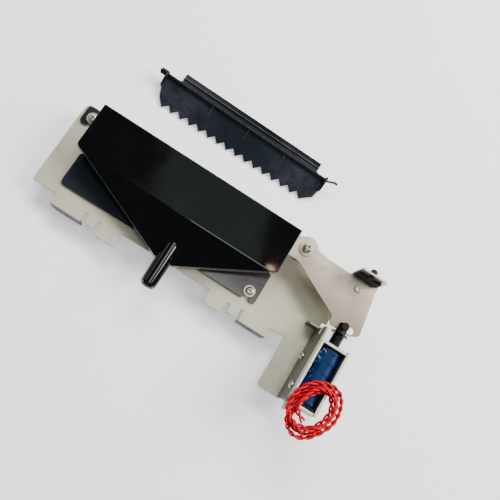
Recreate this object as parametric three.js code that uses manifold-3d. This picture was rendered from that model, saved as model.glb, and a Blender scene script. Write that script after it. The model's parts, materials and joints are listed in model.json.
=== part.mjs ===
// Shutter and drain unit of a banknote validator: a folded base plate carries a drain hood over a
// gutter plate, and a solenoid that pulls a pivoted lever. The comb flap that the lever swings lies
// beside the unit, taken off. Millimetres, +Z up, z = 0 is the surface that everything stands on.
import * as THREE from 'three';
import * as BufferGeometryUtils from 'three/addons/utils/BufferGeometryUtils.js';
import Module from 'manifold-3d';

const wasm = await Module();
wasm.setup();

// ---- Driving dimensions -------------------------------------------------------------------------
const GAP = 0.3; // between pieces that touch on the real unit
const SHEET = 1.5; // folded steel sheet
const PLATE_TOP = 16; // height of the base plate's upper face
const PLATE_BOTTOM = PLATE_TOP - SHEET;

const WALL = { x: 125.3, back: -48, front: 8, top: 45, notch: [2.5, 31.5, 36.5] };

const STOP_LUG = { left: 116.8, top: 27 };

const GUTTER = { left: -80, right: 78.4, front: -2, thick: 1.6 };
const GUTTER_BOTTOM = PLATE_TOP + GAP;
const GUTTER_TOP = GUTTER_BOTTOM + GUTTER.thick;
const SCREW_SPOTS = { left: [-87, 49], right: [70.8, 4.6] };

const HOOD = { left: -81.3, right: 78.9, rear: 57, crease: 20.1, top: 38, slope: 0.45, wall: 2, skirt: 8 };
const HOOD_TIP = { left: 2, right: 15.2, y: -11 };
const HOOD_LEGS = [[-68, 30], [-58, 50], [58, 28], [40, 50]];
const SPOUT = { x: 8.6, z: 24.3, end: -31.7, root: 4, outer: 6, endOuter: 5.7, bore: 4 };

const PIVOT = { x: 88.1, y: 48.2, journal: 6 };
const LEVER = { bottom: 33.2, thick: 1.6, eye: 9.1 };
const LEVER_TOP = LEVER.bottom + LEVER.thick;
const TAB = { left: 124.9, right: 145.5, inner: 51.9, top: 54.5 };
const LEVER_SLOT = { from: 138, to: 143.7, y: 15.4, radius: 2.5 };
const RIVET = { x: 133.5, y: 43.6 };
const BUMPER = { x: 134.3, z: 50 };

const COIL_AXIS = { x: 137.85, z: 34 };
const FRAME = { left: 127, right: 148.7, back: -48.4, front: -0.7, sheet: 2, bottom: 24, top: 44 };
const PLUNGER = { radius: 3.95, neck: 3, head: 3.9, tail: -27, headBack: 10.4, headEnd: 18 };
const CORE_FACE = PLUNGER.tail - 4.6;
const PIN = { x: 137.85, y: 15.3, radius: 2.2 };
const SPRING = { from: -0.1, to: 9, wire: 0.8, mean: 3.8, turns: 4.5 };
const SOLENOID_SCREWS = [[-15.4, 25], [-37.6, 39.6]];

const LEAD = { diameter: 3.2, exit: [132.4, -50.6, 37.4] };
const HANK = { x: 142.3, y: -44, bottom: 45.3, top: 53.3, turn: 60, long: 18, short: 11.4, half: 4 };

const FLAP = { x: 7, y: 110.6, turn: -0.9, left: -71.5, right: 71.5, wire: 1, wireZ: 9.6 };
const TEETH = { count: 16, pitch: 8.22, first: -62.1, tip: -21.4, root: -17.3 };

// ---- Building blocks ----------------------------------------------------------------------------
const toSolid = (geometry) => {
  const bare = geometry.clone();
  bare.deleteAttribute('normal');
  bare.deleteAttribute('uv');
  const merged = BufferGeometryUtils.mergeVertices(bare, 1e-4);
  return new wasm.Manifold(new wasm.Mesh({
    numProp: 3,
    vertProperties: merged.attributes.position.array,
    triVerts: new Uint32Array(merged.index.array),
  }));
};

const toGeometry = (solid) => {
  const mesh = solid.getMesh();
  const geometry = new THREE.BufferGeometry();
  geometry.setAttribute('position', new THREE.BufferAttribute(mesh.vertProperties, 3));
  geometry.setIndex(new THREE.BufferAttribute(mesh.triVerts, 1));
  geometry.computeVertexNormals();
  return geometry;
};

const join = (first, ...rest) => rest.reduce((sum, part) => sum.add(part), first);
const cut = (first, ...rest) => rest.reduce((sum, part) => sum.subtract(part), first);

// A closed outline from corners [x, y, radius]. A radius takes less than half of either edge.
const outline = (corners) => {
  const shape = new THREE.Shape();
  corners.forEach(([x, y, radius = 0], i) => {
    const here = new THREE.Vector2(x, y);
    const edges = [i + corners.length - 1, i + 1]
      .map((j) => corners[j % corners.length])
      .map((corner) => new THREE.Vector2(corner[0], corner[1]).sub(here));
    const reach = Math.min(radius, ...edges.map((edge) => edge.length() * 0.48));
    const [from, to] = edges.map((edge) => (reach > 0 ? edge.clone().setLength(reach).add(here) : here));
    if (i === 0) shape.moveTo(from.x, from.y);
    else shape.lineTo(from.x, from.y);
    if (reach > 0) shape.quadraticCurveTo(x, y, to.x, to.y);
  });
  shape.closePath();
  return shape;
};

const extrude = (shape, depth, curveSegments = 3) =>
  new THREE.ExtrudeGeometry(shape, { depth, bevelEnabled: false, curveSegments });

// Extrusions of a plan outline upwards, and of a (y, z) profile along X.
const upwards = (shape, z0, z1, segments) => toSolid(extrude(shape, z1 - z0, segments).translate(0, 0, z0));
const alongX = (shape, x0, x1, segments) => {
  const turn = new THREE.Matrix4().makeBasis(
    new THREE.Vector3(0, 1, 0), new THREE.Vector3(0, 0, 1), new THREE.Vector3(1, 0, 0));
  return toSolid(extrude(shape, x1 - x0, segments).applyMatrix4(turn).translate(x0, 0, 0));
};

const box = (x0, x1, y0, y1, z0, z1) => toSolid(new THREE.BoxGeometry(x1 - x0, y1 - y0, z1 - z0)
  .translate((x0 + x1) / 2, (y0 + y1) / 2, (z0 + z1) / 2));

// Turned pieces: [radius, position] pairs from one end to the other, closed on the axis.
const turned = (profile, sides = 16) => {
  const points = profile.map(([radius, along]) => new THREE.Vector2(radius, along));
  return new THREE.LatheGeometry(points, sides);
};
const turnedZ = (profile, x, y, sides) =>
  toSolid(turned(profile, sides).rotateX(Math.PI / 2).translate(x, y, 0));
const turnedY = (profile, x, z, sides) => toSolid(turned(profile, sides).translate(x, 0, z));
const turnedX = (profile, y, z, sides) =>
  toSolid(turned(profile, sides).rotateZ(-Math.PI / 2).translate(0, y, z));

const rod = (radius, from, to) => [[0, from], [radius, from], [radius, to], [0, to]];
const pipe = (outer, inner, from, to) =>
  [[inner, from], [outer, from], [outer, to], [inner, to], [inner, from]];

// ---- Base plate ---------------------------------------------------------------------------------
const frontFlange = (x0, x1, cornerLeft, cornerRight, holeX) => {
  const fold = PLATE_TOP - 0.5;
  const face = outline([[x0, 0, cornerLeft], [x1, 0, cornerRight], [x1, fold], [x0, fold]]);
  const flange = toSolid(extrude(face, SHEET).rotateX(Math.PI / 2).translate(0, -15.5, 0));
  return cut(flange, turnedY(rod(2.1, -20, -12), holeX, 4.2, 16));
};

const bracketWall = () => {
  const [notchDepth, notchLow, notchHigh] = WALL.notch;
  const face = outline([
    [WALL.back, PLATE_BOTTOM], [WALL.front, PLATE_BOTTOM], [WALL.front, notchLow, 0.5],
    [notchDepth, notchLow, 1], [notchDepth, notchHigh, 1], [WALL.front, notchHigh, 0.5],
    [WALL.front, WALL.top - 3, 0.5], [WALL.front - 3, WALL.top, 0.5], [WALL.back, WALL.top, 2],
  ]);
  const holes = [[...SOLENOID_SCREWS[0], 1.6], [...SOLENOID_SCREWS[1], 1.6], [-3, 24.5, 1], [-40.5, 25, 1]]
    .map(([y, z, radius]) => turnedX(rod(radius, WALL.x - 2, WALL.x + 4), y, z, 12));
  return cut(alongX(face, WALL.x, WALL.x + SHEET), ...holes);
};

const basePlate = () => {
  const wallBack = WALL.x + SHEET;
  const plan = outline([
    [-97, -9.5, 2.5], [-78, -9.5, 0.6], [-78, -17], [-54, -17], [-54, -9.5, 0.6], [-51, -9.5, 0.6],
    [-51, -16.5, 1.2], [-43.5, -16.5, 1.2], [-43.5, -10, 0.7], [-41, -10, 0.7], [-41, -19.8, 1.5],
    [-25.3, -19.8, 1.2], [-25.3, -9.2, 0.6], [46.5, -9.2, 0.6], [46.5, -17.6, 0.6], [47.8, -19.2, 0.6],
    [61, -19.2, 1.2], [61, -10, 0.9], [64.5, -10, 0.9], [64.5, -16.2, 1.2], [72, -16.2, 0.8], [72, -9, 0.6],
    [74.7, -9, 0.6], [74.7, -17], [97.5, -17], [97.5, -9.2, 0.8], [109, -9.2, 0.6], [109, WALL.back, 2.5],
    [wallBack, WALL.back], [wallBack, WALL.front], [123.5, WALL.front, 0.5], [123.5, 10.5, 0.5],
    [127.5, 10.5, 0.5], [127.5, 13.8, 0.5], [131, 13.8, 1], [131, 46, 4], [106, 57.5, 5], [-96.5, 57.5, 5],
  ]);
  const holes = [
    ...Object.values(SCREW_SPOTS).map(([x, y]) => turnedZ(rod(1.7, 10, 20), x, y, 12)),
    ...HOOD_LEGS.map(([x, y]) => turnedZ(rod(1.7, 10, 20), x, y, 12)),
    turnedZ(rod(2.7, 10, 20), PIVOT.x, PIVOT.y, 20),
  ];
  const lugFace = outline([
    [STOP_LUG.left, PLATE_BOTTOM], [wallBack, PLATE_BOTTOM], [wallBack, STOP_LUG.top],
    [STOP_LUG.left, STOP_LUG.top, 2],
  ]);
  const stopLug = toSolid(extrude(lugFace, SHEET).rotateX(Math.PI / 2).translate(0, WALL.front, 0));
  const rearFlange = (x0, x1) => box(x0, x1, 56, 57.5, 0, PLATE_TOP - 0.5);
  return join(
    cut(upwards(plan, PLATE_BOTTOM, PLATE_TOP), ...holes),
    frontFlange(-78, -54, 8, 0, -66), frontFlange(74.7, 97.5, 0, 2.5, 86.5),
    rearFlange(-88, -60), rearFlange(60, 88), bracketWall(), stopLug);
};

// ---- Gutter plate and its screws ----------------------------------------------------------------
const gutterPlate = () => {
  const [slotX, slotY] = SCREW_SPOTS.right;
  const plan = outline([
    [GUTTER.left, GUTTER.front, 3], [slotX - 2.6, GUTTER.front, 0.5], [slotX - 2.6, slotY + 2.4, 2.4],
    [slotX + 2.6, slotY + 2.4, 2.4], [slotX + 2.6, GUTTER.front, 0.8], [GUTTER.right, GUTTER.front, 3],
    [GUTTER.right, 23.5, 1.8], [74, 23.5, 1], [74, 56.8, 3], [-94.3, 56.8, 2.6], [-94.3, 42.6, 2.6],
    [-88.8, 42.6, 0.8], [-86.8, 45.5, 0.6], [-74, 45.5, 1], [-74, 23.8, 1], [GUTTER.left, 23.8, 1.8],
  ]);
  const holes = [SCREW_SPOTS.left, ...HOOD_LEGS].map(([x, y]) => turnedZ(rod(1.7, 10, 20), x, y, 12));
  return cut(upwards(plan, GUTTER_BOTTOM, GUTTER_TOP), ...holes);
};

// A pan-head screw pointing down, with a cross recess; z is the underside of its head.
const panScrew = (x, y, z, headRadius, headHeight, shankRadius, length) => {
  const top = z + headHeight;
  const body = turnedZ([
    [0, z - length], [shankRadius, z - length], [shankRadius, z], [headRadius, z],
    [headRadius, z + headHeight * 0.45], [headRadius * 0.86, z + headHeight * 0.8],
    [headRadius * 0.6, top], [0, top],
  ], x, y, 14);
  const half = headRadius * 0.52;
  const across = headRadius * 0.13;
  const recess = (a, b) => box(x - a, x + a, y - b, y + b, top - headHeight * 0.55, top + 1);
  return cut(body, recess(half, across), recess(across, half));
};

const hexNut = (x, y, z0, z1, acrossFlats, bore) => {
  const corner = acrossFlats / Math.sqrt(3);
  const prism = toSolid(new THREE.CylinderGeometry(corner, corner, z1 - z0, 6)
    .rotateX(Math.PI / 2).translate(x, y, (z0 + z1) / 2));
  return cut(prism, turnedZ(rod(bore, z0 - 1, z1 + 1), x, y, 16));
};

// ---- Drain hood ---------------------------------------------------------------------------------
// Side profile of the hood between its upper face, lowered by `drop`, and a depth below that.
const hoodProfile = (drop, depth, y0, y1) => {
  const height = (y) => HOOD.top - drop - HOOD.slope * Math.max(0, HOOD.crease - y);
  return outline([
    [y0, height(y0) - depth], [HOOD.crease, height(HOOD.crease) - depth], [y1, height(y1) - depth],
    [y1, height(y1)], [HOOD.crease, height(HOOD.crease)], [y0, height(y0)],
  ]);
};

const hoodPlan = (inset, rear) => outline([
  [HOOD_TIP.right - inset * 0.5, HOOD_TIP.y + inset, inset ? 0 : 1.5],
  [HOOD.right - inset, 22.2 + inset * 0.7, inset ? 0 : 1.5], [HOOD.right - inset, rear],
  [HOOD.left + inset, rear], [HOOD.left + inset, 22.9 + inset * 0.7, inset ? 0 : 1.5],
  [HOOD_TIP.left + inset * 0.5, HOOD_TIP.y + inset, inset ? 0 : 1.5],
]);

const drainHood = () => {
  const block = (plan, profile) =>
    upwards(plan, 0, 60).intersect(alongX(profile, HOOD.left - 10, HOOD.right + 10));
  const outer = block(hoodPlan(0, HOOD.rear), hoodProfile(0, HOOD.skirt, -20, 70));
  const hollow = block(hoodPlan(HOOD.wall, HOOD.rear + 5), hoodProfile(HOOD.wall, HOOD.skirt + 10, -20, 80));
  const legs = HOOD_LEGS.map(([x, y]) => turnedZ(rod(3.2, GUTTER_TOP + GAP, HOOD.top - 1), x, y, 14));
  const legBores = HOOD_LEGS.map(([x, y]) => turnedZ(rod(1.45, 10, 30), x, y, 10));
  const spout = turnedY([
    [0, SPOUT.end], [SPOUT.endOuter - 1.6, SPOUT.end], [SPOUT.endOuter, SPOUT.end + 2.2],
    [SPOUT.outer, SPOUT.root], [0, SPOUT.root],
  ], SPOUT.x, SPOUT.z, 28);
  const bore = turnedY(rod(SPOUT.bore, SPOUT.end - 1, -1), SPOUT.x, SPOUT.z, 20);
  const leverGate = box(HOOD.right - 6, HOOD.right + 5, 35, HOOD.rear + 5, 20, HOOD.top - HOOD.wall);
  return cut(join(cut(outer, hollow), spout, ...legs), bore, leverGate, ...legBores);
};

// ---- Lever and its pivot ------------------------------------------------------------------------
const lever = () => {
  const { from, to, y, radius } = LEVER_SLOT;
  const plan = outline([
    [64, 41, 2], [66, 39.5, 1], [80, 37.6, 4], [86.5, 38.3, 5], [97, 33, 6], [126.4, 18.3, 1.5],
    [127.2, 14, 1], [129, 11.8, 0.8], [144.6, 11.8, 1.5], [150.8, 15.3, 1.5],
    [TAB.right, TAB.inner + SHEET], [TAB.left, TAB.inner + SHEET], [TAB.left, TAB.inner],
    [123.6, 50.6, 0.8], [98, 50.6, 2], [95, 54, 2], [84, 54.2, 2], [80, 54.3, 3], [64, 51, 3],
  ]);
  const eye = turnedZ(rod(LEVER.eye, LEVER.bottom, LEVER_TOP), PIVOT.x, PIVOT.y, 32);
  const tabFace = outline([
    [TAB.left, LEVER.bottom], [TAB.right, LEVER.bottom], [TAB.right, TAB.top, 1.5], [TAB.left, TAB.top, 4],
  ]);
  const tab = toSolid(extrude(tabFace, SHEET).rotateX(Math.PI / 2).translate(0, TAB.inner + SHEET, 0));
  return cut(
    join(upwards(plan, LEVER.bottom, LEVER_TOP), eye, tab),
    turnedZ(rod(4.4, 30, 40), PIVOT.x, PIVOT.y, 20),
    box(from, to, y - radius, y + radius, 30, 40),
    turnedZ(rod(radius, 30, 40), from, y, 16),
    turnedZ(rod(radius, 30, 40), to, y, 16),
    turnedZ(rod(1.8, 30, 40), RIVET.x, RIVET.y, 16),
    turnedY(rod(1.6, TAB.inner - 1, TAB.inner + 3), BUMPER.x, BUMPER.z, 14));
};

const pivotStud = () => {
  const top = 39.6;
  const body = turnedZ([
    [0, 11], [2.4, 11], [2.4, GUTTER_BOTTOM], [5.5, GUTTER_BOTTOM], [5.5, GUTTER_TOP],
    [PIVOT.journal / 2, GUTTER_TOP], [PIVOT.journal / 2, top], [0, top],
  ], PIVOT.x, PIVOT.y, 20);
  return cut(body, turnedZ(rod(1.5, top - 8, top + 1), PIVOT.x, PIVOT.y, 12));
};

const pivotBush = () => turnedZ([
  [3.1, LEVER.bottom - 0.4], [4.2, LEVER.bottom - 0.4], [4.2, LEVER_TOP + 0.2], [5.4, LEVER_TOP + 0.2],
  [5.4, LEVER_TOP + 1.2], [3.1, LEVER_TOP + 1.2], [3.1, LEVER.bottom - 0.4],
], PIVOT.x, PIVOT.y, 20);

const eyelet = () => turnedZ([
  [0.9, LEVER.bottom - 0.7], [2.6, LEVER.bottom - 0.7], [2.6, LEVER.bottom - 0.2], [1.6, LEVER.bottom - 0.2],
  [1.6, LEVER_TOP + 0.2], [2.7, LEVER_TOP + 0.2], [2.3, LEVER_TOP + 0.9], [0.9, LEVER_TOP + 0.9],
  [0.9, LEVER.bottom - 0.7],
], RIVET.x, RIVET.y, 14);

const bumper = () => turnedY([
  [0, TAB.inner - 1.6], [2, TAB.inner - 1.6], [2.1, TAB.inner - GAP], [1.4, TAB.inner - GAP],
  [1.4, TAB.inner + SHEET + GAP], [2.4, TAB.inner + SHEET + GAP], [2.4, 56.4], [1.6, 57.2], [0, 57.2],
], BUMPER.x, BUMPER.z, 14);

// ---- Solenoid -----------------------------------------------------------------------------------
const solenoidFrame = () => {
  const { left, back, front, sheet, bottom, top } = FRAME;
  const right = FRAME.right - sheet - GAP;
  const plan = outline([
    [left, back, 2], [right, back], [right, back + sheet], [left + sheet, back + sheet, 0.6],
    [left + sheet, front - sheet, 0.6], [right, front - sheet], [right, front], [left, front, 2],
  ]);
  const lug = upwards(outline([[left, back - 5.8, 1.4], [left + 2.2, back - 5.8, 0.8], [left + 2.2, back + 1],
    [left, back + 1]]), top - 8, top);
  return cut(
    join(upwards(plan, bottom, top), lug),
    turnedY(rod(4.8, front - 4, front + 2), COIL_AXIS.x, COIL_AXIS.z, 20),
    turnedY(rod(3.2, back - 2, back + 4), COIL_AXIS.x, COIL_AXIS.z, 16),
    turnedY(rod(2.3, back - 2, back + 4), LEAD.exit[0], LEAD.exit[2], 16),
    ...SOLENOID_SCREWS.map(([y, z]) => turnedX(rod(1.35, left - 1, left + 4), y, z, 14)));
};

const bobbin = () => turnedY([
  [4.2, -45.9], [8.5, -45.9], [8.5, -44.9], [5, -44.9], [5, -4.2], [8.5, -4.2], [8.5, -3.2], [4.5, -3.2],
  [4.5, -0.4], [3.25, -0.4], [3.25, -1.4], [4.2, -1.4], [4.2, -45.9],
], COIL_AXIS.x, COIL_AXIS.z, 24);

const plunger = () => {
  const { radius, neck, head, tail, headBack, headEnd } = PLUNGER;
  const body = turnedY([
    [0, tail], [radius - 0.8, tail], [radius, tail + 0.8], [radius, -7], [neck, -6], [neck, headBack],
    [head, headBack], [head, headEnd - 1.6], [head - 0.6, headEnd - 0.5], [head - 2, headEnd], [0, headEnd],
  ], COIL_AXIS.x, COIL_AXIS.z, 20);
  return cut(body,
    box(COIL_AXIS.x - 6, COIL_AXIS.x + 6, headBack + 0.9, headEnd + 3, LEVER.bottom - GAP, LEVER_TOP + GAP),
    turnedZ(rod(PIN.radius + 0.1, 20, 50), PIN.x, PIN.y, 20));
};

const springCurve = () => {
  const points = [];
  const steps = SPRING.turns * 16;
  for (let i = 0; i <= steps; i += 1) {
    const angle = (i / 16) * 2 * Math.PI;
    const y = THREE.MathUtils.lerp(SPRING.from + SPRING.wire / 2, SPRING.to - SPRING.wire / 2, i / steps);
    points.push(new THREE.Vector3(
      COIL_AXIS.x + SPRING.mean * Math.cos(angle), y, COIL_AXIS.z + SPRING.mean * Math.sin(angle)));
  }
  return new THREE.CatmullRomCurve3(points);
};

const roundSection = (radius, sides) => {
  const shape = new THREE.Shape();
  for (let i = 0; i < sides; i += 1) {
    const angle = (i / sides) * 2 * Math.PI;
    if (i === 0) shape.moveTo(radius, 0);
    else shape.lineTo(radius * Math.cos(angle), radius * Math.sin(angle));
  }
  shape.closePath();
  return shape;
};

const swept = (curve, radius, sides, steps) =>
  new THREE.ExtrudeGeometry(roundSection(radius, sides), { steps, bevelEnabled: false, extrudePath: curve });

const spring = () => toSolid(swept(springCurve(), SPRING.wire / 2, 6, 66));

const clevisPin = () => turnedZ([
  [0, 28.2], [PIN.radius - 0.3, 28.2], [PIN.radius, 28.6], [PIN.radius, 38.6], [2.9, 38.6], [2.9, 39.3],
  [2.3, 39.8], [0, 39.8],
], PIN.x, PIN.y, 16);

// ---- Leads --------------------------------------------------------------------------------------
const leadCurve = () => new THREE.CatmullRomCurve3([
  LEAD.exit, [132.4, -53, 37.5], [132.8, -55.6, 38.9], [134, -57.3, 41], [136, -58, 42.8],
].map((p) => new THREE.Vector3(...p)));

const hank = () => {
  const oval = (grow) => {
    const shape = new THREE.Shape();
    shape.absellipse(0, 0, HANK.long + grow, HANK.short + grow, 0, 2 * Math.PI, false, 0);
    return shape;
  };
  const ring = oval(HANK.half);
  ring.holes.push(oval(-HANK.half));
  return extrude(ring, HANK.top - HANK.bottom, 24).rotateZ(THREE.MathUtils.degToRad(HANK.turn))
    .translate(HANK.x, HANK.y, HANK.bottom);
};

// ---- Comb flap ----------------------------------------------------------------------------------
// Local frame: x along the axle, y = 0 at the axle, teeth towards -y.
const bladeTop = (y) => 8.2 + (y - 1.5) * 0.27;

const combFlap = () => {
  const { left, right } = FLAP;
  const plan = [[left, 1.5, 0.5], [left + 1.2, -9, 0.5], [left + 3.6, -15, 0.5]];
  for (let i = 0; i < TEETH.count; i += 1) {
    const x = TEETH.first + i * TEETH.pitch;
    plan.push([x, TEETH.tip, 0.35]);
    if (i < TEETH.count - 1) plan.push([x + TEETH.pitch * 0.5, TEETH.root, 0.35]);
  }
  plan.push([right - 2, -14.8, 0.8], [right - 0.4, -6, 0.5], [right, 1.5, 0.5]);
  const blade = alongX(outline([
    [1.5, bladeTop(1.5) - 1.8], [1.5, bladeTop(1.5)], [-25, bladeTop(-25)], [-25, bladeTop(-25) - 1.8],
  ].reverse()), left, right);
  const toothed = blade.intersect(upwards(outline(plan), -5, 30, 3));
  const lip = alongX(outline([
    [0.4, 6.4], [1.9, 0, 0.3], [12.2, 0, 0.3], [12.2, 1.6, 0.4], [8.6, 1.7], [8, 2.7, 0.3],
    [7.2, 2.7, 0.3], [6.6, 1.7], [3.6, 1.6, 0.4], [2, 8.3, 0.4], [0.4, 8.1],
  ]), -60.3, 62.2, 3);
  const cheekFace = outline([
    [1.6, 6.6], [1.6, 12.6, 1.5], [-3, 14, 2], [-9, 8.6, 1], [-9, bladeTop(-9) - 1.2],
  ].reverse());
  const cheeks = [[left + 0.1, left + 1.8], [right - 1.8, right - 0.1]]
    .map(([x0, x1]) => alongX(cheekFace, x0, x1, 4));
  const ribs = [-29.7, 2, 34.4].map((x) => alongX(outline([
    [-9, bladeTop(-9) - 0.5], [0, 7], [1.4, 7], [1.4, 9.8, 0.5], [-1.6, 9.4, 0.5], [-9, bladeTop(-9) + 0.4],
  ]), x - 0.4, x + 0.4, 4));
  const axleHole = turnedX(rod(FLAP.wire + 0.12, -90, 90), 0, FLAP.wireZ, 16);
  return cut(join(toothed, lip, ...cheeks, ...ribs), axleHole);
};

const flapAxle = () => {
  const z = FLAP.wireZ;
  const points = [[FLAP.left - 5.4, 0, z], [FLAP.left, 0, z], [-30, 0, z], [30, 0, z], [FLAP.right - 2, 0, z],
    [FLAP.right + 2.6, 0, z], [FLAP.right + 3.8, 0.8, z + 0.4], [FLAP.right + 5.2, 1.4, z + 0.7],
    [FLAP.right + 8.4, 1.4, z + 0.7]];
  const curve = new THREE.CatmullRomCurve3(points.map((p) => new THREE.Vector3(...p)), false, 'chordal');
  return toSolid(swept(curve, FLAP.wire, 8, 60));
};

const flapBush = () =>
  turnedX(pipe(2.3, FLAP.wire + 0.15, FLAP.left - 4.6, FLAP.left - GAP), 0, FLAP.wireZ, 20);

// ---- Materials ----------------------------------------------------------------------------------
const finish = (color, roughness, metalness) =>
  new THREE.MeshStandardMaterial({ color, roughness, metalness });
const zincSteel = finish(0xc6c0ac, 0.45, 0.8);
const leverSteel = finish(0xbeb6a8, 0.4, 0.85);
const nickelSteel = finish(0xe1dfda, 0.3, 0.9);
const blackGloss = finish(0x14171a, 0.12, 0);
const blackOxide = finish(0x10131a, 0.35, 0.4);
const blackPlastic = finish(0x191b1f, 0.5, 0);
const dustyPlastic = finish(0x2a2f38, 0.65, 0);
const rubber = finish(0x141414, 0.8, 0);
const bronze = finish(0xa99878, 0.4, 0.8);
const blueTape = finish(0x05376e, 0.3, 0);
const redWire = finish(0xdc0014, 0.4, 0);

// ---- Assembly -----------------------------------------------------------------------------------
const unit = new THREE.Group();
const add = (parent, name, solid, material) => {
  const mesh = new THREE.Mesh(solid.isBufferGeometry ? solid : toGeometry(solid), material);
  mesh.name = name;
  parent.add(mesh);
  return mesh;
};

add(unit, 'base_plate', basePlate(), zincSteel);
add(unit, 'gutter_plate', gutterPlate(), blackGloss);
add(unit, 'drain_hood', drainHood(), blackGloss);

Object.entries(SCREW_SPOTS).forEach(([side, [x, y]]) => {
  const washerTop = GUTTER_TOP + 1;
  const washer = turnedZ(pipe(4.25, 1.8, GUTTER_TOP + 0.2, washerTop), x, y, 20);
  const nut = hexNut(x, y, PLATE_BOTTOM - 2.4, PLATE_BOTTOM - 0.2, 5.5, 1.65);
  add(unit, `gutter_washer_${side}`, washer, nickelSteel);
  add(unit, `gutter_screw_${side}`, panScrew(x, y, washerTop + 0.1, 3, 2.1, 1.45, 7.5), nickelSteel);
  add(unit, `gutter_nut_${side}`, nut, nickelSteel);
});

HOOD_LEGS.forEach(([x, y], i) => {
  const screw = panScrew(x, -y, -(PLATE_BOTTOM - 0.2), 2.8, 1.8, 1.25, 12);
  const mesh = add(unit, `hood_screw_${i + 1}`, screw, nickelSteel);
  mesh.rotation.x = Math.PI;
});

add(unit, 'pivot_stud', pivotStud(), nickelSteel);
add(unit, 'pivot_nut', hexNut(PIVOT.x, PIVOT.y, PLATE_BOTTOM - 3.2, PLATE_BOTTOM - 0.2, 8, 2.6), nickelSteel);
add(unit, 'pivot_spacer', turnedZ(pipe(4.8, 3.2, GUTTER_TOP + 0.2, LEVER.bottom - 0.6), PIVOT.x, PIVOT.y, 20),
  blackPlastic);
add(unit, 'pivot_screw', panScrew(PIVOT.x, PIVOT.y, 39.8, 3.2, 2.2, 1.3, 6), nickelSteel);

const swinging = new THREE.Group();
unit.add(swinging);
add(swinging, 'lever', lever(), leverSteel);
add(swinging, 'pivot_bush', pivotBush(), bronze);
add(swinging, 'lever_eyelet', eyelet(), leverSteel);
add(swinging, 'tab_pad', box(126.4, 143.4, TAB.inner - 1.5, TAB.inner - 0.2, 36, 47.6), rubber);
add(swinging, 'tab_bumper', bumper(), rubber);

add(unit, 'solenoid_frame', solenoidFrame(), nickelSteel);
add(unit, 'solenoid_yoke', box(FRAME.right - FRAME.sheet, FRAME.right, FRAME.back, FRAME.front + 1.1,
  FRAME.bottom, FRAME.top), nickelSteel);
add(unit, 'coil_bobbin', bobbin(), blackPlastic);
add(unit, 'coil_winding', turnedY(pipe(8.6, 5.3, -44.6, -4.5), COIL_AXIS.x, COIL_AXIS.z, 24), blueTape);
add(unit, 'fixed_core', turnedY([
  [0, -49.6], [2.9, -49.6], [2.9, -46.1], [3.95, -46.1], [3.95, CORE_FACE], [0, CORE_FACE],
], COIL_AXIS.x, COIL_AXIS.z, 16), nickelSteel);
SOLENOID_SCREWS.forEach(([y, z], i) => {
  const screw = panScrew(0, 0, 0, 2.75, 1.9, 1.2, 3.6).rotate([0, -90, 0]).translate([WALL.x - 0.15, y, z]);
  add(unit, `solenoid_screw_${i + 1}`, screw, nickelSteel);
});
add(unit, 'lead_grommet', turnedY([
  [1.95, -50.3], [3, -50.3], [3, -48.7], [2.15, -48.7], [2.15, -46.2], [1.95, -46.2], [1.95, -50.3],
], LEAD.exit[0], LEAD.exit[2], 14), blackPlastic);

const sliding = new THREE.Group();
unit.add(sliding);
add(sliding, 'plunger', plunger(), blackOxide);
add(sliding, 'spring_washer', turnedY(pipe(6.3, 3.15, 9.3, 10.1), COIL_AXIS.x, COIL_AXIS.z, 24), blackOxide);
add(sliding, 'clevis_pin', clevisPin(), blackOxide);
add(sliding, 'pin_clip', turnedZ(pipe(3.6, 2.3, 28.9, 29.5), PIN.x, PIN.y, 16), blackOxide);
add(unit, 'return_spring', spring(), blackOxide);

const leads = new THREE.Group();
unit.add(leads);
add(leads, 'lead_pair', swept(leadCurve(), LEAD.diameter / 2, 8, 6), redWire);
add(leads, 'lead_hank', hank(), redWire);

const flap = new THREE.Group();
flap.position.set(FLAP.x, FLAP.y, 0);
flap.rotation.z = THREE.MathUtils.degToRad(FLAP.turn);
unit.add(flap);
add(flap, 'comb_flap', combFlap(), dustyPlastic);
add(flap, 'flap_axle', flapAxle(), nickelSteel);
add(flap, 'flap_bush', flapBush(), blackPlastic);

// The origin is at the middle of the unit's footprint, measured without the loose leads.
unit.remove(leads);
const middle = new THREE.Box3().setFromObject(unit, true).getCenter(new THREE.Vector3());
unit.add(leads);
unit.position.set(-middle.x, -middle.y, 0);

export default unit;
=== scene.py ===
"""A bill validator's drain unit as a studio scene: the CAD frame, its finishes, leads and lights."""
import json
import math

import bmesh
import bpy
from mathutils import Matrix, Vector


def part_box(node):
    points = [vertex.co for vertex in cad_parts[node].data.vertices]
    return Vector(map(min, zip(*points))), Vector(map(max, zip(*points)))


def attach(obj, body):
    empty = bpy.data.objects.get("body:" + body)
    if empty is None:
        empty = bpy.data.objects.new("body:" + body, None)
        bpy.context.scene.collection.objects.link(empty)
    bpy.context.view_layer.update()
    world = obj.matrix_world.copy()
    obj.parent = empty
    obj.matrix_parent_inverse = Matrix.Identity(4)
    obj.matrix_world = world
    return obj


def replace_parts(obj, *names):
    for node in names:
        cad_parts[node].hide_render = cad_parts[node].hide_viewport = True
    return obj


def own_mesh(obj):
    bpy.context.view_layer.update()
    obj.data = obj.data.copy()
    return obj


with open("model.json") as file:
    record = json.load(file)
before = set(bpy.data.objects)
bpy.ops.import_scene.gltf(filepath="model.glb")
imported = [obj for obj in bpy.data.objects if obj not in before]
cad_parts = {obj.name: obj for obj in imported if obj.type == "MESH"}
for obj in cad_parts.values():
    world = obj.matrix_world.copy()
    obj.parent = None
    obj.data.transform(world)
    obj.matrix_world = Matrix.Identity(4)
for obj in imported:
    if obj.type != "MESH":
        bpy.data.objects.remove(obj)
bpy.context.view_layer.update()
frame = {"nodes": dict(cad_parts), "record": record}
MM = 0.001


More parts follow.
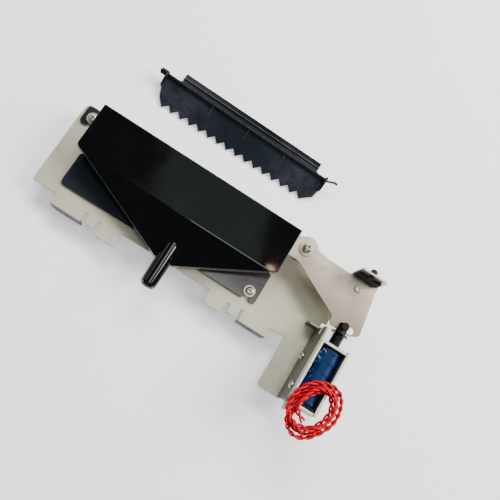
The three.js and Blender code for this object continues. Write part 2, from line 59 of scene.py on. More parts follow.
# ---- Places worked out from the frame -------------------------------------------------------------
def middle(node):
    low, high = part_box(node)
    return (Vector(low) + Vector(high)) / 2


def span(node, axis):
    low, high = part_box(node)
    return low[axis], high[axis]


FRAME_TOP = span("solenoid_yoke", 2)[1]

# ---- Camera ---------------------------------------------------------------------------------------
CAMERA_AT = Vector((-1.4, -120.9, 486)) * MM
CAMERA_RIGHT = Vector((0.8419, 0.5083, 0.1812))
CAMERA_UP = Vector((-0.5359, 0.8270, 0.1701))
FOCAL_LENGTH = 48.96


def add_camera():
    camera = bpy.data.objects.new("camera", bpy.data.cameras.new("camera"))
    bpy.context.collection.objects.link(camera)
    back = CAMERA_RIGHT.cross(CAMERA_UP)
    turn = Matrix((CAMERA_RIGHT, CAMERA_UP, back)).transposed().to_4x4()
    camera.matrix_world = Matrix.Translation(CAMERA_AT) @ turn
    camera.data.lens = FOCAL_LENGTH
    camera.data.sensor_width = 36
    camera.data.clip_start = 0.01
    bpy.context.scene.camera = camera


add_camera()


# ---- Node materials -------------------------------------------------------------------------------
class Finish:
    """A node material on one Principled shader, in the object's own coordinates (metres)."""

    def __init__(self, name, **sockets):
        self.material = bpy.data.materials.new(name)
        self.material.use_nodes = True
        self.tree = self.material.node_tree
        self.shader = self.tree.nodes["Principled BSDF"]
        for socket, value in sockets.items():
            self.shader.inputs[socket.replace("_", " ")].default_value = value
        self.coords = self.tree.nodes.new("ShaderNodeTexCoord").outputs["Object"]

    def node(self, kind, links=None, **settings):
        node = self.tree.nodes.new(kind)
        for key, value in settings.items():
            setattr(node, key, value)
        for socket, value in (links or {}).items():
            if isinstance(value, bpy.types.NodeSocket):
                self.tree.links.new(value, node.inputs[socket])
            else:
                node.inputs[socket].default_value = value
        return node

    def placed(self, stretch=(1, 1, 1), turn=0.0, at=(0, 0, 0)):
        links = {"Vector": self.coords, "Scale": stretch, "Rotation": (0, 0, turn), "Location": at}
        return self.node("ShaderNodeMapping", links).outputs["Vector"]

    def noise(self, size, detail=3.0, roughness=0.5, distortion=0.0, **placing):
        """Noise from 0 to 1 whose blobs are about `size` metres across."""
        links = {"Vector": self.placed(**placing), "Scale": 1 / size, "Detail": detail,
                 "Roughness": roughness, "Distortion": distortion}
        return self.node("ShaderNodeTexNoise", links).outputs["Fac"]

    def spots(self, size, **placing):
        """Distance to the nearest of scattered points about `size` metres apart, from 0."""
        links = {"Vector": self.placed(**placing), "Scale": 1 / size}
        return self.node("ShaderNodeTexVoronoi", links, feature="F1").outputs["Distance"]

    def step(self, value, start, end, low=0.0, high=1.0):
        """Maps value from start..end to low..high, smoothly and clamped."""
        links = {"Value": value, "From Min": start, "From Max": end, "To Min": low, "To Max": high}
        return self.node("ShaderNodeMapRange", links, interpolation_type="SMOOTHSTEP").outputs["Result"]

    def band(self, value, centre, inner, outer):
        """1 within `inner` of centre, falling to 0 at `outer`."""
        return self.step(self.maths("ABSOLUTE", self.maths("SUBTRACT", value, centre)), inner, outer, 1, 0)

    def maths(self, operation, a, b=0.0):
        return self.node("ShaderNodeMath", {0: a, 1: b}, operation=operation).outputs["Value"]

    def axis(self, index, vector=None):
        return self.node("ShaderNodeSeparateXYZ", {"Vector": vector or self.coords}).outputs[index]

    def mix(self, factor, a, b):
        node = self.node("ShaderNodeMix", data_type="RGBA")
        for socket, value in zip(("Factor", "A", "B"), (factor, a, b)):
            wanted = [s for s in node.inputs if s.name == socket and s.enabled][0]
            if isinstance(value, bpy.types.NodeSocket):
                self.tree.links.new(value, wanted)
            else:
                wanted.default_value = (*value, 1) if isinstance(value, tuple) else value
        return [s for s in node.outputs if s.enabled][0]

    def facing_up(self):
        """1 on faces that look up, 0 on upright ones."""
        normal = self.node("ShaderNodeNewGeometry").outputs["Normal"]
        return self.step(self.node("ShaderNodeSeparateXYZ", {"Vector": normal}).outputs["Z"], 0.3, 0.85)

    def open_to_air(self, reach):
        """1 on open faces, falling to 0 in hollows narrower than `reach`."""
        node = self.node("ShaderNodeAmbientOcclusion", {"Distance": reach}, samples=8)
        return self.step(node.outputs["AO"], 0.3, 0.9)

    def feed(self, socket, value):
        self.tree.links.new(value, self.shader.inputs[socket])
        return self

    def bump(self, height, depth, strength=1.0):
        links = {"Height": height, "Distance": depth, "Strength": strength}
        return self.feed("Normal", self.node("ShaderNodeBump", links).outputs["Normal"])


def sheet_metal(name, pale, dark, metallic, roughness, sides=None, painted_shade_above=None):
    """Plated sheet: a fine rolled grain, soft blotches, scratches and a few specks. With `sides`, upright
    faces take that darker colour as painted shade, and the narrow top edges above the given height lean
    towards it, also as painted shade."""
    f = Finish(name, Metallic=metallic)
    blotches = f.step(f.noise(24 * MM, detail=4, roughness=0.6), 0.35, 0.7)
    grain_noise = f.noise(1.1 * MM, detail=5, roughness=0.7)
    drawn_out = f.noise(3 * MM, detail=2, distortion=0.6, stretch=(0.08, 2.4, 1), turn=0.7)
    scratches = f.step(drawn_out, 0.66, 0.72)
    specks = f.step(f.spots(6 * MM), 0.03, 0.06, 1, 0)
    shade = f.mix(f.maths("MULTIPLY", blotches, 0.6), pale, dark)
    shade = f.mix(f.step(grain_noise, 0.2, 0.8, 0, 0.22), shade, dark)
    shade = f.mix(f.maths("MULTIPLY", scratches, 0.12), shade, (0.9, 0.88, 0.82))
    shade = f.mix(f.maths("MULTIPLY", specks, 0.35), shade, tuple(c * 0.35 for c in dark))
    # Painted shade: upright faces, and upward faces above the given height, are darkened towards the side
    # colour.
    if sides:
        unshaded_tops = f.facing_up()
        if painted_shade_above:
            below_shade_height = f.step(f.axis(2), painted_shade_above, painted_shade_above + 1 * MM, 1, 0.35)
            unshaded_tops = f.maths("MULTIPLY", unshaded_tops, below_shade_height)
        shade = f.mix(unshaded_tops, f.mix(blotches, sides, tuple(c * 0.8 for c in sides)), shade)
    f.feed("Base Color", shade)
    f.feed("Roughness", f.maths("ADD", f.step(grain_noise, 0.2, 0.8, roughness - 0.05, roughness + 0.07),
                                f.maths("MULTIPLY", blotches, 0.05)))
    return f.bump(grain_noise, 0.012 * MM, 0.5).material


def turned_steel(name, pale, dark, roughness):
    """Plated screws and washers: bright where they are open, with painted shade darkening recesses and under
    edges.
    """
    f = Finish(name, Metallic=0.95)
    grain = f.noise(0.5 * MM, detail=3, roughness=0.6)
    shade = f.mix(f.step(grain, 0.25, 0.75, 0, 0.3), pale, dark)
    # Painted shade: the colour falls to near-black in recesses and under edges.
    f.feed("Base Color", f.mix(f.open_to_air(1.6 * MM), tuple(c * 0.12 for c in dark), shade))
    f.feed("Roughness", f.step(grain, 0.2, 0.8, roughness - 0.06, roughness + 0.1))
    return f.bump(grain, 0.02 * MM, 0.5).material


def gloss_black(name, colour, haze, wave):
    """Polished black plastic: slow waves in its surface, faint haze, dust specks and hairline scratches."""
    f = Finish(name, Specular_IOR_Level=0.5)
    haze_area = f.step(f.noise(30 * MM, detail=3), 0.4, 0.75)
    hair = f.step(f.noise(2 * MM, detail=1, distortion=0.4, stretch=(0.05, 2, 1), turn=0.5), 0.7, 0.74)
    dust = f.step(f.spots(3.4 * MM), 0.025, 0.05, 1, 0)
    shade = f.mix(f.maths("MULTIPLY", haze_area, 0.5), colour, haze)
    shade = f.mix(f.maths("MULTIPLY", dust, 0.12), shade, (0.3, 0.3, 0.29))
    f.feed("Base Color", shade)
    f.feed("Roughness", f.maths("ADD", f.step(haze_area, 0, 1, 0.06, 0.12), f.maths("MULTIPLY", hair, 0.05)))
    return f.bump(f.noise(45 * MM, detail=1), wave, 1.0).material


def moulded(name, colour, worn, roughness, gloss=0.45, texture=0.02 * MM):
    """Moulded plastic: fine spark-eroded texture, lighter where it is rubbed and dusty."""
    f = Finish(name, Specular_IOR_Level=gloss)
    rubbed = f.step(f.noise(9 * MM, detail=5, roughness=0.65), 0.42, 0.72)
    fine = f.noise(0.6 * MM, detail=2)
    f.feed("Base Color", f.mix(rubbed, colour, worn))
    f.feed("Roughness", f.step(rubbed, 0, 1, roughness, roughness + 0.15))
    return f.bump(fine, texture, 0.6).material


def black_oxide():
    """Oiled black oxide over turned steel, a little browner where it is handled."""
    f = Finish("oxide", Specular_IOR_Level=0.22)
    grain = f.noise(0.6 * MM, detail=4, roughness=0.65)
    handled = f.step(f.noise(4 * MM, detail=3), 0.4, 0.7)
    f.feed("Base Color", f.mix(handled, (0.0016, 0.002, 0.0034), (0.006, 0.0055, 0.006)))
    f.feed("Roughness", f.step(grain, 0.25, 0.75, 0.22, 0.42))
    return f.bump(grain, 0.015 * MM, 0.6).material


def red_insulation():
    """Bright red insulation with painted shade between the strands, and a faint waxy mottling."""
    f = Finish("red_wire", Specular_IOR_Level=0.1)
    mottle = f.step(f.noise(5 * MM, detail=3), 0.3, 0.7)
    shade = f.mix(mottle, (0.52, 0.0, 0.010), (0.62, 0.0, 0.018))
    # Painted shade: darker red where the strands hollow each other.
    f.feed("Base Color", f.mix(f.open_to_air(2.2 * MM), (0.24, 0.0, 0.004), shade))
    f.feed("Roughness", f.step(mottle, 0, 1, 0.3, 0.42))
    return f.bump(f.noise(0.7 * MM, detail=2), 0.01 * MM, 0.6).material


# The comb lies a little turned. In its own axes X runs along it and Y from its teeth to its rear lip.
COMB_TURN = math.radians(0.9)
COMB_SHIFT = (20.99 * MM, -75.52 * MM, 0)
RUBBED_LINES = (-29.7 * MM, 2 * MM, 34.4 * MM)
REAR_LIP = 8.5 * MM


def comb_plastic():
    """Black moulding with a chalky bloom, heaviest at its two ends, a near-black glossier rear lip with a
    painted highlight along its front edge, and rubbed ribs.
    """
    f = Finish("comb_black", Specular_IOR_Level=0.1)
    own_axes = f.placed(turn=COMB_TURN, at=COMB_SHIFT)
    along, back = f.axis(0, own_axes), f.axis(1, own_axes)
    ends = f.step(f.maths("ABSOLUTE", along), 10 * MM, 54 * MM, 0.2, 1)
    cloud = f.step(f.noise(15 * MM, detail=6, roughness=0.7), 0.36, 0.66, 0.3, 1)
    speckle = f.step(f.noise(1.6 * MM, detail=4, roughness=0.75), 0.3, 0.7, 0.45, 1)
    bloom_and_painted_reflection = f.maths("MULTIPLY", f.maths("MULTIPLY", ends, speckle), cloud)
    shade = f.mix(bloom_and_painted_reflection, (0.0003, 0.0046, 0.0085), (0.034, 0.034, 0.048))
    below_ridge = f.maths("MULTIPLY", f.step(back, -9.5 * MM, -8.5 * MM),
                          f.step(back, -2 * MM, -1.4 * MM, 1, 0))
    for place in RUBBED_LINES:
        line = f.band(along, place, 0.3 * MM, 0.7 * MM)
        rubbed = f.maths("MULTIPLY", f.maths("MULTIPLY", line, below_ridge), f.noise(2 * MM, detail=3))
        shade = f.mix(rubbed, shade, (0.05, 0.055, 0.07))
    lip = f.step(back, REAR_LIP, REAR_LIP + 0.2 * MM)
    shade = f.mix(lip, shade, (0.0006, 0.0007, 0.0008))
    # Painted highlight: a thin pale line along the front edge of the rear lip.
    edge = f.maths("MULTIPLY", f.band(back, REAR_LIP - 0.5 * MM, 0.1 * MM, 0.3 * MM),
                   f.step(f.noise(6 * MM, detail=3), 0.3, 0.6, 0.3, 0.9))
    shade = f.mix(edge, shade, (0.12, 0.12, 0.11))
    f.feed("Base Color", shade)
    f.feed("Roughness", f.maths("SUBTRACT", f.step(bloom_and_painted_reflection, 0, 1, 0.4, 0.65), f.maths("MULTIPLY", lip, 0.28)))
    return f.bump(f.noise(0.6 * MM, detail=2), 0.02 * MM, 0.6).material


def axle_steel():
    """Blackened wire where the comb holds it, bare and grey at its bent end."""
    f = Finish("axle_steel", Metallic=0.6)
    grain = f.noise(1.5 * MM, detail=4, stretch=(0.3, 1, 1))
    comb_end = span("comb_flap", 0)[1]
    bare = f.step(f.axis(0), comb_end - 1 * MM, comb_end + 1 * MM)
    black = f.mix(f.step(grain, 0.3, 0.7), (0.006, 0.007, 0.010), (0.020, 0.021, 0.027))
    grey = f.mix(f.step(grain, 0.3, 0.7), (0.03, 0.028, 0.026), (0.075, 0.07, 0.065))
    f.feed("Base Color", f.mix(bare, black, grey))
    f.feed("Roughness", f.step(grain, 0.3, 0.7, 0.35, 0.5))
    return f.bump(grain, 0.02 * MM, 0.5).material


def scuffed_tape():
    """Glossy blue winding tape: crinkled, with lapped edges and pale curling scratches near one end."""
    f = Finish("tape", Specular_IOR_Level=0.1)
    curls = f.maths("ABSOLUTE", f.maths("SUBTRACT", f.noise(9 * MM, detail=2, distortion=1.2), 0.5))
    patch = f.step(f.noise(11 * MM, detail=2, at=(0.3, 0.1, 0)), 0.52, 0.6)
    scuffs = f.maths("MULTIPLY", f.step(curls, 0.004, 0.014, 1, 0), patch)
    shade = f.mix(f.step(f.noise(7 * MM, detail=3), 0.35, 0.7), (0.0003, 0.011, 0.05), (0.0010, 0.022, 0.088))
    f.feed("Base Color", f.mix(f.maths("MULTIPLY", scuffs, 0.55), shade, (0.45, 0.55, 0.62)))
    f.feed("Roughness", f.step(scuffs, 0, 1, 0.32, 0.6))
    return f.bump(f.noise(2.6 * MM, detail=3, stretch=(1, 0.35, 1)), 0.12 * MM, 0.5).material


def lever_plating():
    """Nickel plating with a straight grain, with painted shade making it darker and warmer towards its low-Y
    end.
    """
    f = Finish("lever_steel", Metallic=0.9)
    grain = f.noise(1.2 * MM, detail=4, roughness=0.7, stretch=(1, 9, 1), turn=0.35)
    blotches = f.step(f.noise(19 * MM, detail=5, roughness=0.6, distortion=0.3), 0.38, 0.68)
    low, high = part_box("lever")
    # Painted shade: a ramp from bright at the high-Y end to dark and warm at the low-Y end.
    painted_shade_ramp = f.step(f.axis(1), low[1], high[1] + 5 * MM, 1, 0)
    shade = f.mix(painted_shade_ramp, (0.70, 0.62, 0.51), (0.23, 0.20, 0.16))
    shade = f.mix(f.maths("MULTIPLY", blotches, 0.7), shade, (0.30, 0.25, 0.195))
    shade = f.mix(f.step(grain, 0.2, 0.8, 0, 0.25), shade, (0.28, 0.25, 0.21))
    f.feed("Base Color", shade)
    f.feed("Roughness", f.step(grain, 0.2, 0.8, 0.27, 0.4))
    return f.bump(grain, 0.01 * MM, 0.5).material


def gutter_finish():
    """Polished black sheet with a brownish painted reflection at its right-hand end."""
    f = Finish("gutter_black", Specular_IOR_Level=0.5)
    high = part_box("gutter_plate")[1]
    streaks = f.noise(12 * MM, detail=6, roughness=0.7, distortion=0.5, stretch=(0.6, 1.5, 1), turn=0.6)
    # Painted reflection: a streaked brownish-grey patch that grows towards the right-hand end, rougher there.
    bloom_and_painted_reflection = f.maths("MULTIPLY", f.step(f.axis(0), high[0] - 45 * MM, high[0] - 5 * MM),
                    f.step(streaks, 0.3, 0.7, 0.25, 1))
    dust = f.step(f.spots(3.1 * MM), 0.03, 0.05, 1, 0)
    shade = f.mix(bloom_and_painted_reflection, (0.015, 0.0205, 0.0255), (0.052, 0.039, 0.034))
    f.feed("Base Color", f.mix(f.maths("MULTIPLY", dust, 0.15), shade, (0.3, 0.29, 0.27)))
    f.feed("Roughness", f.step(bloom_and_painted_reflection, 0, 1, 0.1, 0.2))
    return f.bump(f.noise(40 * MM, detail=1), 0.2 * MM).material


# The side colours given to zinc and nickel are painted shade on upright faces; on zinc it also falls on top
# edges above 20 mm.
ZINC = sheet_metal("zinc", (0.50, 0.48, 0.355), (0.375, 0.36, 0.27), 0.3, 0.48, sides=(0.12, 0.118, 0.095),
                   painted_shade_above=20 * MM)
LEVER_STEEL = lever_plating()
NICKEL = sheet_metal("nickel", (0.62, 0.60, 0.53), (0.46, 0.44, 0.38), 0.8, 0.32, sides=(0.32, 0.31, 0.28))
FASTENER = turned_steel("fastener", (0.50, 0.48, 0.43), (0.28, 0.265, 0.23), 0.28)
HOOD_BLACK = gloss_black("hood_black", (0.0009, 0.0012, 0.0013), (0.002, 0.0024, 0.0023), 0.5 * MM)
GUTTER_BLACK = gutter_finish()
COMB_BLACK = comb_plastic()
AXLE_STEEL = axle_steel()
PLASTIC = moulded("plastic", (0.0012, 0.0013, 0.0018), (0.0045, 0.0047, 0.006), 0.4, gloss=0.15)
RUBBER = moulded("rubber", (0.004, 0.004, 0.004), (0.012, 0.012, 0.012), 0.75)
OXIDE = black_oxide()
BRONZE = sheet_metal("bronze", (0.42, 0.37, 0.27), (0.3, 0.26, 0.18), 0.7, 0.4)
TAPE = scuffed_tape()
RED = red_insulation()

SLOT_FINISH = {
    "plate": ZINC, "lever": LEVER_STEEL, "fastener": FASTENER, "frame": NICKEL, "hood": HOOD_BLACK,
    "gutter": GUTTER_BLACK, "oxide": OXIDE, "plastic": PLASTIC, "comb": COMB_BLACK, "rubber": RUBBER,
    "bronze": BRONZE, "tape": TAPE, "wire": RED,
}
SLOT_OF = {part["node"]: part["material_slot"] for part in frame["record"]["subparts"]}
BODY_OF = {node: body for body, nodes in frame["record"]["behaviour"]["bodies"].items() for node in nodes}


def finish_of(node):
    return AXLE_STEEL if node == "flap_axle" else SLOT_FINISH[SLOT_OF[node]]


for name, node in frame["nodes"].items():
    node.data.materials.clear()
    node.data.materials.append(finish_of(name))


# ---- Pieces ---------------------------------------------------------------------------------------
def finished_mesh(name, shape):
    """The bmesh as a mesh of that name. It frees the bmesh."""
    mesh = bpy.data.meshes.new(name)
    shape.to_mesh(mesh)
    shape.free()
    return mesh


def add_piece(name, mesh, body, slot):
    piece = bpy.data.objects.new(name, mesh)
    bpy.context.collection.objects.link(piece)
    mesh.materials.clear()
    mesh.materials.append(SLOT_FINISH[slot])
    for face in mesh.polygons:
        face.use_smooth = True
    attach(piece, body)
    return piece


def broken_edges(node, width, sharper_than):
    """A node's own shape with its sharp edges broken, in place of the node."""
    mesh = frame["nodes"][node].data.copy()
    shape = bmesh.new()
    shape.from_mesh(mesh)
    bmesh.ops.remove_doubles(shape, verts=shape.verts, dist=1e-6)
    bmesh.ops.dissolve_limit(shape, angle_limit=math.radians(0.5), verts=shape.verts, edges=shape.edges)
    shape.to_mesh(mesh)
    shape.free()
    piece = add_piece(f"{node}_edged", mesh, BODY_OF[node], SLOT_OF[node])
    mesh.materials[0] = finish_of(node)
    mesh.set_sharp_from_angle(angle=math.radians(sharper_than))
    bevel = piece.modifiers.new("edges", "BEVEL")
    bevel.width = width
    bevel.segments = 2
    bevel.limit_method = "ANGLE"
    bevel.angle_limit = math.radians(sharper_than)
    bevel.use_clamp_overlap = False
    normals = piece.modifiers.new("normals", "WEIGHTED_NORMAL")
    normals.keep_sharp = False
    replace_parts(piece, node)


# Sheets and mouldings: the width of the broken edge in mm, and the angle in degrees that counts as sharp.
EDGES = {
    "base_plate": (0.25, 28), "gutter_plate": (0.25, 28), "drain_hood": (0.5, 14), "lever": (0.25, 28),
    "solenoid_frame": (0.3, 28), "solenoid_yoke": (0.3, 28), "comb_flap": (0.18, 28), "tab_pad": (0.3, 28),
}
SMALL_PART_EDGE = (0.08, 33)
# Nodes with a finer shape of their own further on, and one inside the winding that keeps its plain solid.
REMADE = {"coil_winding", "return_spring", "lead_pair", "lead_hank"}
ENCLOSED = {"fixed_core"}

SMALL_PARTS = [node for node in frame["nodes"] if node not in {*EDGES, *REMADE, *ENCLOSED}]
for node in [*EDGES, *SMALL_PARTS]:
    width, sharper_than = EDGES.get(node, SMALL_PART_EDGE)
    broken_edges(node, width * MM, sharper_than)


def lofted(name, rings, body, slot):
    """A closed skin over rings of points, with flat ends."""
    shape = bmesh.new()
    loops = [[shape.verts.new(point) for point in ring] for ring in rings]
    for a, b in zip(loops, loops[1:]):
        for i in range(len(a)):
            j = (i + 1) % len(a)
            shape.faces.new((a[i], b[i], b[j], a[j]))
    shape.faces.new(loops[0])
    shape.faces.new(loops[-1][::-1])
    bmesh.ops.recalc_face_normals(shape, faces=shape.faces)
    return add_piece(name, finished_mesh(name, shape), body, slot)


COIL_RINGS, COIL_SIDES = 60, 72
COIL_SQUARENESS = 2.7
TAPE_LAPS = 5.3
TAPE_STEP = 0.14 * MM
COIL_END_ROUNDING = 0.5 * MM
COIL_END_SHARE = 0.06


def wrapped_coil():
    """The winding under its tape: squarer than a circle, with lapped turns of tape along it."""
    low, high = (Vector(corner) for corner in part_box("coil_winding"))
    axis, half = (low + high) / 2, (high.x - low.x) / 2
    high.y += 0.9 * MM
    rings = []
    for i in range(COIL_RINGS + 1):
        along = i / COIL_RINGS
        lap = TAPE_STEP * ((along * TAPE_LAPS) % 1)
        end = COIL_END_ROUNDING * max(0, abs(along - 0.5) * 2 - (1 - COIL_END_SHARE)) / COIL_END_SHARE
        ring = []
        for k in range(COIL_SIDES):
            angle = 2 * math.pi * k / COIL_SIDES
            cosine, sine = math.cos(angle), math.sin(angle)
            squarish = sum(abs(part) ** COIL_SQUARENESS for part in (cosine, sine)) ** (1 / COIL_SQUARENESS)
            reach = half / squarish - 0.2 * MM - lap - end
            ring.append((axis.x + reach * cosine, low.y + along * (high.y - low.y), axis.z + reach * sine))
        rings.append(ring)
    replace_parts(lofted("wrapped_coil", rings, "unit", "tape"), "coil_winding")


def rounded_outline(low, high, corner, steps=6):
    """Corner-rounded rectangle as (u, v) points, counter-clockwise."""
    points = []
    left, right = low[0] + corner, high[0] - corner
    bottom, top = low[1] + corner, high[1] - corner
    for u, v, start in ((right, top, 0), (left, top, 90), (left, bottom, 180), (right, bottom, 270)):
        for i in range(steps + 1):
            angle = math.radians(start + 90 * i / steps)
            points.append((u + corner * math.cos(angle), v + corner * math.sin(angle)))
    return points


def bobbin_flange(name, low, high, thin_axis, corner):
    """A thin black plate with rounded corners and broken edges, across axis 0 (X) or 1 (Y)."""
    wide_axis = 1 - thin_axis
    edge = 0.12 * MM
    rings = []
    near, far = low[thin_axis], high[thin_axis]
    for at, inset in ((near, edge), (near + edge, 0), (far - edge, 0), (far, edge)):
        outline = rounded_outline((low[wide_axis] + inset, low[2] + inset),
                                  (high[wide_axis] - inset, high[2] - inset), corner)
        rings.append([(at, u, v) if thin_axis == 0 else (u, at, v) for u, v in outline])
    lofted(name, rings, "unit", "plastic")


def bobbin_flanges():
    """The bobbin's square ends, and a black sheet between the winding and the yoke, painted shade in the gap
    there.
    """
    low, high = (Vector(corner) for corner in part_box("coil_winding"))
    left, right = span("solenoid_frame", 0)[0] + 2.2 * MM, span("solenoid_yoke", 0)[0] - 0.2 * MM
    bottom, top = span("solenoid_frame", 2)[0] + 0.8 * MM, span("solenoid_frame", 2)[1] - 0.7 * MM
    rear, front = (high.y + 1.0 * MM, high.y + 1.6 * MM), (low.y - 1.4 * MM, low.y - 0.1 * MM)
    bobbin_flange("bobbin_end_rear", (left, rear[0], bottom), (right, rear[1], top), 1, 1.5 * MM)
    bobbin_flange("bobbin_end_front", (left, front[0], bottom), (right, front[1], top), 1, 1.5 * MM)
    # Painted shade: a black sheet filling the shaded gap between the winding and the yoke.
    bobbin_flange("painted_shade_sheet", (right - 1.2 * MM, low.y, bottom), (right, high.y, top), 0, 1.0 * MM)


wrapped_coil()
bobbin_flanges()

# ---- Leads and spring -----------------------------------------------------------------------------
WIRE = 1.6 * MM
PAIR = 2 * WIRE
TWIST = 11.5 * MM
HANK_TURN = math.radians(68)
HANK_LONG, HANK_SHORT = 16.6 * MM, 11.6 * MM
HANK_START, HANK_END = math.radians(185), math.radians(100 + 4 * 360)
HANK_STEPS_PER_TURN = 24
SLOT_CHANGE = 0.2
# How far out and up each turn lies in the bundle, in mm. The last turn has no next slot, so it is repeated.
HANK_SLOTS = [(-2.2, 0.0), (1.2, 0.1), (4.0, 0.4), (-0.6, 3.0), (-0.6, 3.0)]
# Steps in mm: up from the grommet, and inwards from the hank's last turn.
RISE = [(0, 0, 0), (0.3, -2.6, 0.6), (1.5, -5.1, 2.2), (3.8, -6.9, 4.3)]
TAIL = [(-0.4, -3.0, -0.3), (0.6, -6.0, -0.9), (2.8, -8.5, -1.6), (5.8, -10.2, -2.2), (8.8, -11.4, -2.9)]
BARE_TAIL = 15 * MM


def smooth(t):
    t = min(max(t, 0.0), 1.0)
    return t * t * (3 - 2 * t)


def hank_point(turns, centre, start):
    """A point of the hank after `turns` turns. Each turn has its own slot in the bundle."""
    index, rest = int(turns), turns % 1
    here, following = HANK_SLOTS[index], HANK_SLOTS[index + 1]
    change = smooth((rest - (1 - SLOT_CHANGE)) / SLOT_CHANGE)
    out = (here[0] + (following[0] - here[0]) * change) * MM
    up = (here[1] + (following[1] - here[1]) * change) * MM
    angle = start + turns * 2 * math.pi
    out += 0.35 * MM * math.sin(3 * angle + 1.7 * index) + 0.25 * MM * math.sin(5 * angle + index)
    along, across = (HANK_LONG + out) * math.cos(angle), (HANK_SHORT + out) * math.sin(angle)
    x = centre.x + along * math.cos(HANK_TURN) - across * math.sin(HANK_TURN)
    y = centre.y + along * math.sin(HANK_TURN) + across * math.cos(HANK_TURN)
    sag = 2.6 * MM * smooth((span("solenoid_frame", 1)[0] - y) / (14 * MM))
    return Vector((x, y, FRAME_TOP + PAIR / 2 + 0.2 * MM + up - sag))


def lead_route():
    """From the grommet up to the hank, round it, and inwards to two loose ends in its middle."""
    grommet = middle("lead_grommet")
    leaves = Vector((grommet.x, span("lead_pair", 1)[1], grommet.z))
    centre = middle("lead_hank") + Vector((1.9, -0.8, 0)) * MM
    points = [leaves + Vector(step) * MM for step in RISE]
    turns = (HANK_END - HANK_START) / (2 * math.pi)
    steps = int(turns * HANK_STEPS_PER_TURN)
    points += [hank_point(turns * i / steps, centre, HANK_START) for i in range(steps + 1)]
    last = points[-1]
    return points + [last + Vector(step) * MM for step in TAIL]


def resampled(points, pitch):
    """Points of a Catmull-Rom curve through `points`, about `pitch` apart."""
    dense = []
    padded = [points[0] * 2 - points[1], *points, points[-1] * 2 - points[-2]]
    for a, b, c, d in zip(padded, padded[1:], padded[2:], padded[3:]):
        for i in range(12):
            t = i / 12
            dense.append(0.5 * (2 * b + (c - a) * t + (2 * a - 5 * b + 4 * c - d) * t ** 2
                                + (3 * b - a - 3 * c + d) * t ** 3))
    dense.append(points[-1])
    out, carried = [dense[0]], 0.0
    for a, b in zip(dense, dense[1:]):
        length = (b - a).length
        while carried + length >= pitch:
            a = a.lerp(b, (pitch - carried) / length)
            length = (b - a).length
            carried = 0.0
            out.append(a.copy())
        carried += length
    return out


def path_frames(path):
    """Two directions across the path at each point, carried along it without twist."""
    side = Vector((1, 0, 0))
    frames = []
    for i, here in enumerate(path):
        ahead = (path[min(i + 1, len(path) - 1)] - path[max(i - 1, 0)]).normalized()
        side = (side - ahead * side.dot(ahead)).normalized()
        frames.append((side.copy(), ahead.cross(side)))
    return frames


def add_tube(shape, path, radius, sides=10):
    """A closed tube of that radius along the path."""
    angles = [2 * math.pi * i / sides for i in range(sides)]
    rings = []
    for here, (side, other) in zip(path, path_frames(path)):
        ring = [here + radius * (side * math.cos(angle) + other * math.sin(angle)) for angle in angles]
        rings.append([shape.verts.new(point) for point in ring])
    for a, b in zip(rings, rings[1:]):
        for i in range(sides):
            shape.faces.new((a[i], a[(i + 1) % sides], b[(i + 1) % sides], b[i]))
    shape.faces.new(rings[0][::-1])
    shape.faces.new(rings[-1])


def twisted_leads():
    """Two wires wound round one path. Their twist is uneven, and they part towards their bare tips."""
    pitch = 0.45 * MM
    path = resampled(lead_route(), pitch)
    frames = path_frames(path)
    shape = bmesh.new()
    for strand in (0, math.pi):
        line = []
        for i, (here, (side, other)) in enumerate(zip(path, frames)):
            run, left = i * pitch, (len(path) - 1 - i) * pitch
            loose = smooth((BARE_TAIL - left) / BARE_TAIL)
            angle = strand + 2 * math.pi * (run / TWIST + 0.16 * math.sin(run / (9.5 * MM)))
            apart = WIRE / 2 * (1.02 + 0.1 * math.sin(run / (21 * MM)) + 0.5 * loose)
            line.append(here + apart * (side * math.cos(angle) + other * math.sin(angle)))
        add_tube(shape, line, WIRE / 2 - 0.02 * MM)
    piece = add_piece("twisted_leads", finished_mesh("twisted_leads", shape), "unit", "wire")
    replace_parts(piece, "lead_pair", "lead_hank")


SPRING_WIRE = 0.85 * MM
SPRING_TURNS, CLOSED_TURNS = 8, 0.75
SPRING_STEPS_PER_TURN = 28
CLOSED_RISE = 0.9 * SPRING_WIRE


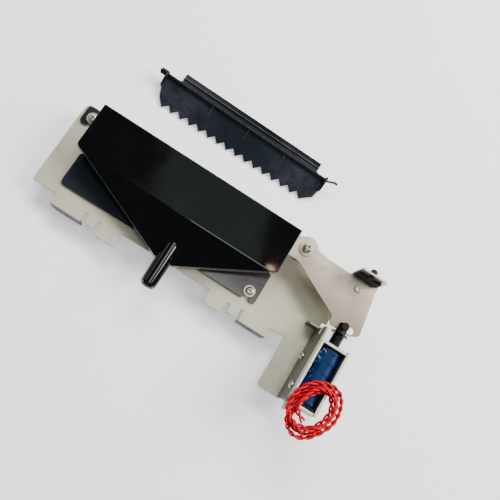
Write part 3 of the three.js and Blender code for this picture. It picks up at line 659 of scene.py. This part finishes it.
def spring_coil():
    """The return spring in round wire with closed ends."""
    low, high = (Vector(corner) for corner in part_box("return_spring"))
    axis = (low + high) / 2
    reach = (high.x - low.x) / 2 - SPRING_WIRE / 2
    open_turns = SPRING_TURNS - 2 * CLOSED_TURNS
    open_length = high.y - low.y - SPRING_WIRE - 2 * CLOSED_TURNS * CLOSED_RISE
    line = []
    for i in range(SPRING_TURNS * SPRING_STEPS_PER_TURN + 1):
        turn = i / SPRING_STEPS_PER_TURN
        opened = max(0.0, min(turn - CLOSED_TURNS, open_turns)) / open_turns
        closed = min(turn, CLOSED_TURNS) + max(0.0, turn - SPRING_TURNS + CLOSED_TURNS)
        y = low.y + SPRING_WIRE / 2 + closed * CLOSED_RISE + opened * open_length
        angle = 2 * math.pi * turn
        line.append(Vector((axis.x + reach * math.cos(angle), y, axis.z + reach * math.sin(angle))))
    shape = bmesh.new()
    add_tube(shape, line, SPRING_WIRE / 2, sides=8)
    piece = add_piece("spring_coil", finished_mesh("spring_coil", shape), "unit", "oxide")
    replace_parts(piece, "return_spring")
    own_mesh(piece)


twisted_leads()
spring_coil()


# ---- Studio ---------------------------------------------------------------------------------------
def add_floor():
    f = Finish("floor", Roughness=0.9, Emission_Color=(1, 1, 1, 1), Emission_Strength=0.5)
    f.feed("Base Color", f.mix(f.noise(60 * MM, detail=3), (0.93, 0.93, 0.93), (0.96, 0.96, 0.96)))
    mesh = bpy.data.meshes.new("floor")
    mesh.from_pydata([(-3, -3, 0), (3, -3, 0), (3, 3, 0), (-3, 3, 0)], [], [(0, 1, 2, 3)])
    floor = bpy.data.objects.new("floor", mesh)
    mesh.materials.append(f.material)
    bpy.context.collection.objects.link(floor)


def add_softbox(name, at, size, power, colour=(1, 1, 1), aim=(0, 0, 0.02)):
    light = bpy.data.lights.new(name, "AREA")
    light.shape = "RECTANGLE"
    light.size, light.size_y = size
    light.energy = power
    light.color = colour
    piece = bpy.data.objects.new(name, light)
    piece.location = at
    piece.rotation_euler = (Vector(at) - Vector(aim)).to_track_quat("Z", "Y").to_euler()
    bpy.context.collection.objects.link(piece)


def light_room():
    world = bpy.data.worlds.new("room")
    world.use_nodes = True
    world.node_tree.nodes["Background"].inputs["Color"].default_value = (0.9, 0.96, 1, 1)
    world.node_tree.nodes["Background"].inputs["Strength"].default_value = 0.1
    bpy.context.scene.world = world
    add_softbox("overhead", (0.22, -0.09, 2.0), (0.62, 0.9), 8.5, aim=(0.22, -0.09, 0))
    add_softbox("ceiling", (-0.05, 0.66, 2.4), (0.55, 0.4), 0.3, (0.8, 1, 0.85))
    add_softbox("lamp", (0.28, 0.47, 2.0), (0.04, 0.028), 0.085, (1, 0.64, 0.38))
    add_softbox("key", (1.2, 0.7, 1.2), (1.0, 1.0), 46, (1, 0.985, 0.95))
    add_softbox("rear_top", (-0.25, 1.3, 1.6), (1.4, 0.6), 44)
    add_softbox("left_fill", (-1.3, 0.5, 1.1), (1.0, 0.7), 2)
    add_softbox("front_fill", (-0.2, -1.7, 0.45), (1.4, 0.5), 1.5)


add_floor()
light_room()
